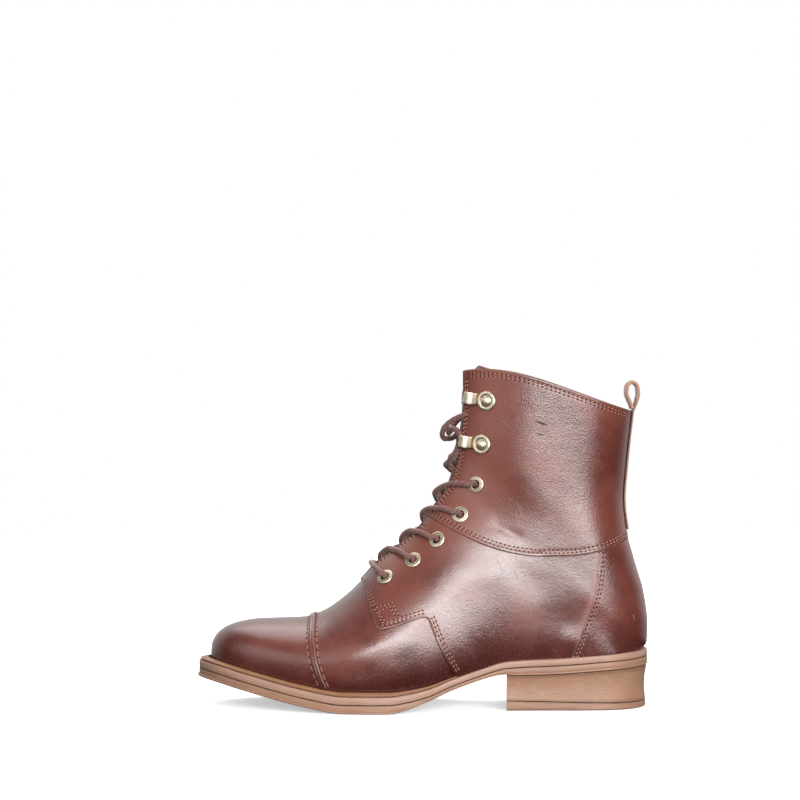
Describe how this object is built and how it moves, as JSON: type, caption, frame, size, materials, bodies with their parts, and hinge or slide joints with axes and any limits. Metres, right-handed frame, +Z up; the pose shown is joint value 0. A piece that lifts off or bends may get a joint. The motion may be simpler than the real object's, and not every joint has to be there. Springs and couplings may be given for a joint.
{
  "type": "lace-up ankle boot",
  "caption": "Left lace-up ankle boot in polished brown leather with a toe cap, eyelets, lace hooks, pull loop, welted sole and stacked heel, worn on the foot.",
  "frame": {"origin": "on the floor, under the middle of the boot's box", "axes": "-X towards the toe, -Y towards the outer side, +Z up"},
  "size_m": [0.2748, 0.1002, 0.207],
  "materials": {
    "boot_leather": "polished, burnished",
    "tongue_leather": "soft satin",
    "outsole": "matt tan",
    "sole_edge": "matt tan edge",
    "heel_stack": "stacked layers, matt",
    "welt": "matt, burnished orange-brown",
    "insole": "matt",
    "brass": "antique, brushed",
    "lace": "round twisted cord"
  },
  "bodies": {
    "root": {"counter": "boot_leather", "eyelet_lateral_1": "brass", "eyelet_lateral_2": "brass", "eyelet_lateral_3": "brass", "eyelet_lateral_4": "brass", "eyelet_lateral_5": "brass", "eyelet_medial_1": "brass", "eyelet_medial_2": "brass", "eyelet_medial_3": "brass", "eyelet_medial_4": "brass", "eyelet_medial_5": "brass", "heel_stack": "heel_stack", "heel_top_piece": "outsole", "hook_lateral_1": "brass", "hook_lateral_2": "brass", "hook_medial_1": "brass", "hook_medial_2": "brass", "hook_rivet_lateral_1": "brass", "hook_rivet_lateral_2": "brass", "hook_rivet_medial_1": "brass", "hook_rivet_medial_2": "brass", "insole": "insole", "lace_bar_1": "lace", "lace_cross_1": "lace", "lace_cross_2": "lace", "lace_cross_3": "lace", "lace_cross_4": "lace", "lace_cross_5": "lace", "lace_knot_inner": "lace", "lace_knot_outer": "lace", "midsole": "sole_edge", "outsole": "outsole", "pull_loop": "boot_leather", "quarter_lateral": "boot_leather", "quarter_medial": "boot_leather", "shaft_lateral": "boot_leather", "shaft_medial": "boot_leather", "toe_cap_strip": "boot_leather", "tongue": "tongue_leather", "upper": "boot_leather", "welt": "welt"}
  },
  "joints": []
}
